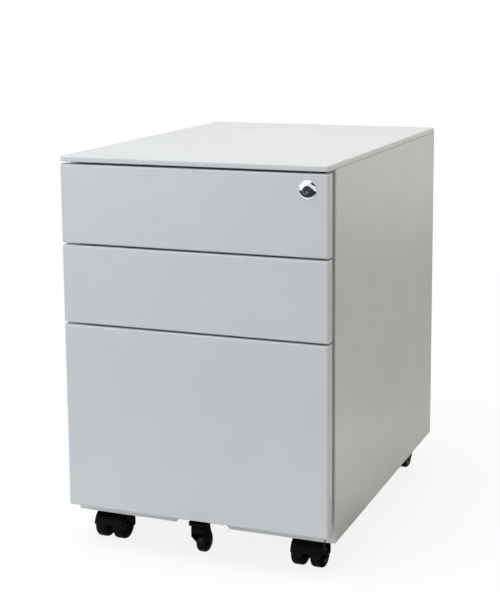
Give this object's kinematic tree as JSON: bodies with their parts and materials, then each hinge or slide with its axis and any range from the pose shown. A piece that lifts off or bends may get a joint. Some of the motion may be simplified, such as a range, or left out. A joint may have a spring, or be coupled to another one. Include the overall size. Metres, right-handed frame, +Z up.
{
  "type": "mobile drawer pedestal",
  "caption": "Light grey steel filing pedestal on twin-wheel casters, with shallow drawers over a file drawer, side-grip fronts, a gang lock and an anti-tip caster.",
  "frame": {"origin": "on the floor, in the middle of the width and the overall depth", "axes": "+Z up, the drawers open towards -Y, +X to the right of someone facing the drawers"},
  "size_m": [0.39, 0.56, 0.565],
  "materials": {
    "cabinet_paint": "light grey powder coat",
    "inner_paint": "light grey powder coat",
    "runner_zinc": "zinc plate",
    "lock_chrome": "bright chrome",
    "plug_chrome": "satin chrome",
    "lock_zinc": "zinc plate",
    "caster_plate_steel": "black paint",
    "caster_plastic": "black moulded",
    "wheel_plastic": "black moulded",
    "axle_steel": "turned steel"
  },
  "bodies": {
    "cabinet": {"top_panel": "cabinet_paint", "left_side_panel": "cabinet_paint", "right_side_panel": "cabinet_paint", "back_panel": "cabinet_paint", "base_pan": "cabinet_paint", "left_rear_post": "inner_paint", "right_rear_post": "inner_paint", "caster_plates": "caster_plate_steel", "lock_bar_guides": "lock_zinc", "top_left_fixed_runner": "runner_zinc", "top_right_fixed_runner": "runner_zinc", "middle_left_fixed_runner": "runner_zinc", "middle_right_fixed_runner": "runner_zinc", "bottom_left_fixed_runner": "runner_zinc", "bottom_right_fixed_runner": "runner_zinc"},
    "lock_bar": {"lock_bar": "lock_zinc"},
    "top_drawer": {"top_drawer_front": "cabinet_paint", "top_drawer_backing": "inner_paint", "top_drawer_tray": "inner_paint", "top_left_drawer_runner": "runner_zinc", "top_right_drawer_runner": "runner_zinc", "lock_housing": "lock_chrome", "lock_nut": "lock_zinc"},
    "middle_drawer": {"middle_drawer_front": "cabinet_paint", "middle_drawer_backing": "inner_paint", "middle_drawer_tray": "inner_paint", "middle_left_drawer_runner": "runner_zinc", "middle_right_drawer_runner": "runner_zinc"},
    "bottom_drawer": {"bottom_drawer_front": "cabinet_paint", "bottom_drawer_backing": "inner_paint", "bottom_drawer_tray": "inner_paint", "bottom_left_drawer_runner": "runner_zinc", "bottom_right_drawer_runner": "runner_zinc", "fifth_caster_bracket": "caster_plate_steel", "fifth_caster_plate": "caster_plate_steel"},
    "bottom_middle_runners": {"bottom_left_middle_runner": "runner_zinc", "bottom_right_middle_runner": "runner_zinc"},
    "lock_plug": {"lock_plug": "plug_chrome", "lock_cam": "lock_zinc"},
    "front_left_caster": {"front_left_caster_hood": "caster_plastic", "front_left_caster_axle": "axle_steel"},
    "front_left_caster_left_wheel": {"front_left_caster_left_wheel": "wheel_plastic"},
    "front_left_caster_right_wheel": {"front_left_caster_right_wheel": "wheel_plastic"},
    "front_right_caster": {"front_right_caster_hood": "caster_plastic", "front_right_caster_axle": "axle_steel"},
    "front_right_caster_left_wheel": {"front_right_caster_left_wheel": "wheel_plastic"},
    "front_right_caster_right_wheel": {"front_right_caster_right_wheel": "wheel_plastic"},
    "rear_left_caster": {"rear_left_caster_hood": "caster_plastic", "rear_left_caster_axle": "axle_steel"},
    "rear_left_caster_left_wheel": {"rear_left_caster_left_wheel": "wheel_plastic"},
    "rear_left_caster_right_wheel": {"rear_left_caster_right_wheel": "wheel_plastic"},
    "rear_right_caster": {"rear_right_caster_hood": "caster_plastic", "rear_right_caster_axle": "axle_steel"},
    "rear_right_caster_left_wheel": {"rear_right_caster_left_wheel": "wheel_plastic"},
    "rear_right_caster_right_wheel": {"rear_right_caster_right_wheel": "wheel_plastic"},
    "fifth_caster": {"fifth_caster_fork": "caster_plastic", "fifth_caster_axle": "axle_steel"},
    "fifth_caster_wheel": {"fifth_caster_wheel": "wheel_plastic"}
  },
  "joints": [
    {"name": "top_drawer_slide", "type": "slide", "parent": "cabinet", "child": "top_drawer", "axis": [0, -1, 0], "range_m": [0, 0.33]},
    {"name": "middle_drawer_slide", "type": "slide", "parent": "cabinet", "child": "middle_drawer", "axis": [0, -1, 0], "range_m": [0, 0.33]},
    {"name": "bottom_drawer_slide", "type": "slide", "parent": "cabinet", "child": "bottom_drawer", "axis": [0, -1, 0], "range_m": [0, 0.43]},
    {"name": "bottom_middle_runner_slide", "type": "slide", "parent": "cabinet", "child": "bottom_middle_runners", "axis": [0, -1, 0], "range_m": [0, 0.215]},
    {"name": "lock_turn", "type": "hinge", "parent": "top_drawer", "child": "lock_plug", "pos_m": [0.166, -0.277, 0.5327], "axis": [0, -1, 0], "range_deg": [0, 90]},
    {"name": "lock_bar_lift", "type": "slide", "parent": "cabinet", "child": "lock_bar", "axis": [0, 0, 1], "range_m": [0, 0.0099]},
    {"name": "front_left_swivel", "type": "hinge", "parent": "cabinet", "child": "front_left_caster", "pos_m": [-0.151, -0.207, 0.05], "axis": [0, 0, 1], "continuous": true},
    {"name": "front_left_left_wheel_spin", "type": "hinge", "parent": "front_left_caster", "child": "front_left_caster_left_wheel", "pos_m": [-0.1649, -0.222, 0.02], "axis": [1, 0, 0], "continuous": true},
    {"name": "front_left_right_wheel_spin", "type": "hinge", "parent": "front_left_caster", "child": "front_left_caster_right_wheel", "pos_m": [-0.1371, -0.222, 0.02], "axis": [1, 0, 0], "continuous": true},
    {"name": "front_right_swivel", "type": "hinge", "parent": "cabinet", "child": "front_right_caster", "pos_m": [0.151, -0.207, 0.05], "axis": [0, 0, 1], "continuous": true},
    {"name": "front_right_left_wheel_spin", "type": "hinge", "parent": "front_right_caster", "child": "front_right_caster_left_wheel", "pos_m": [0.1371, -0.222, 0.02], "axis": [1, 0, 0], "continuous": true},
    {"name": "front_right_right_wheel_spin", "type": "hinge", "parent": "front_right_caster", "child": "front_right_caster_right_wheel", "pos_m": [0.1649, -0.222, 0.02], "axis": [1, 0, 0], "continuous": true},
    {"name": "rear_left_swivel", "type": "hinge", "parent": "cabinet", "child": "rear_left_caster", "pos_m": [-0.151, 0.235, 0.05], "axis": [0, 0, 1], "continuous": true},
    {"name": "rear_left_left_wheel_spin", "type": "hinge", "parent": "rear_left_caster", "child": "rear_left_caster_left_wheel", "pos_m": [-0.1649, 0.22, 0.02], "axis": [1, 0, 0], "continuous": true},
    {"name": "rear_left_right_wheel_spin", "type": "hinge", "parent": "rear_left_caster", "child": "rear_left_caster_right_wheel", "pos_m": [-0.1371, 0.22, 0.02], "axis": [1, 0, 0], "continuous": true},
    {"name": "rear_right_swivel", "type": "hinge", "parent": "cabinet", "child": "rear_right_caster", "pos_m": [0.151, 0.235, 0.05], "axis": [0, 0, 1], "continuous": true},
    {"name": "rear_right_left_wheel_spin", "type": "hinge", "parent": "rear_right_caster", "child": "rear_right_caster_left_wheel", "pos_m": [0.1371, 0.22, 0.02], "axis": [1, 0, 0], "continuous": true},
    {"name": "rear_right_right_wheel_spin", "type": "hinge", "parent": "rear_right_caster", "child": "rear_right_caster_right_wheel", "pos_m": [0.1649, 0.22, 0.02], "axis": [1, 0, 0], "continuous": true},
    {"name": "fifth_swivel", "type": "hinge", "parent": "bottom_drawer", "child": "fifth_caster", "pos_m": [0, -0.256, 0.045], "axis": [0, 0, 1], "continuous": true},
    {"name": "fifth_wheel_spin", "type": "hinge", "parent": "fifth_caster", "child": "fifth_caster_wheel", "pos_m": [0, -0.242, 0.0225], "axis": [1, 0, 0], "continuous": true}
  ],
  "couplings": [
    {"joint": "bottom_middle_runner_slide", "follows": "bottom_drawer_slide", "ratio": 0.5},
    {"joint": "lock_turn", "follows": "lock_bar_lift", "rad_per_m": 158.67}
  ]
}
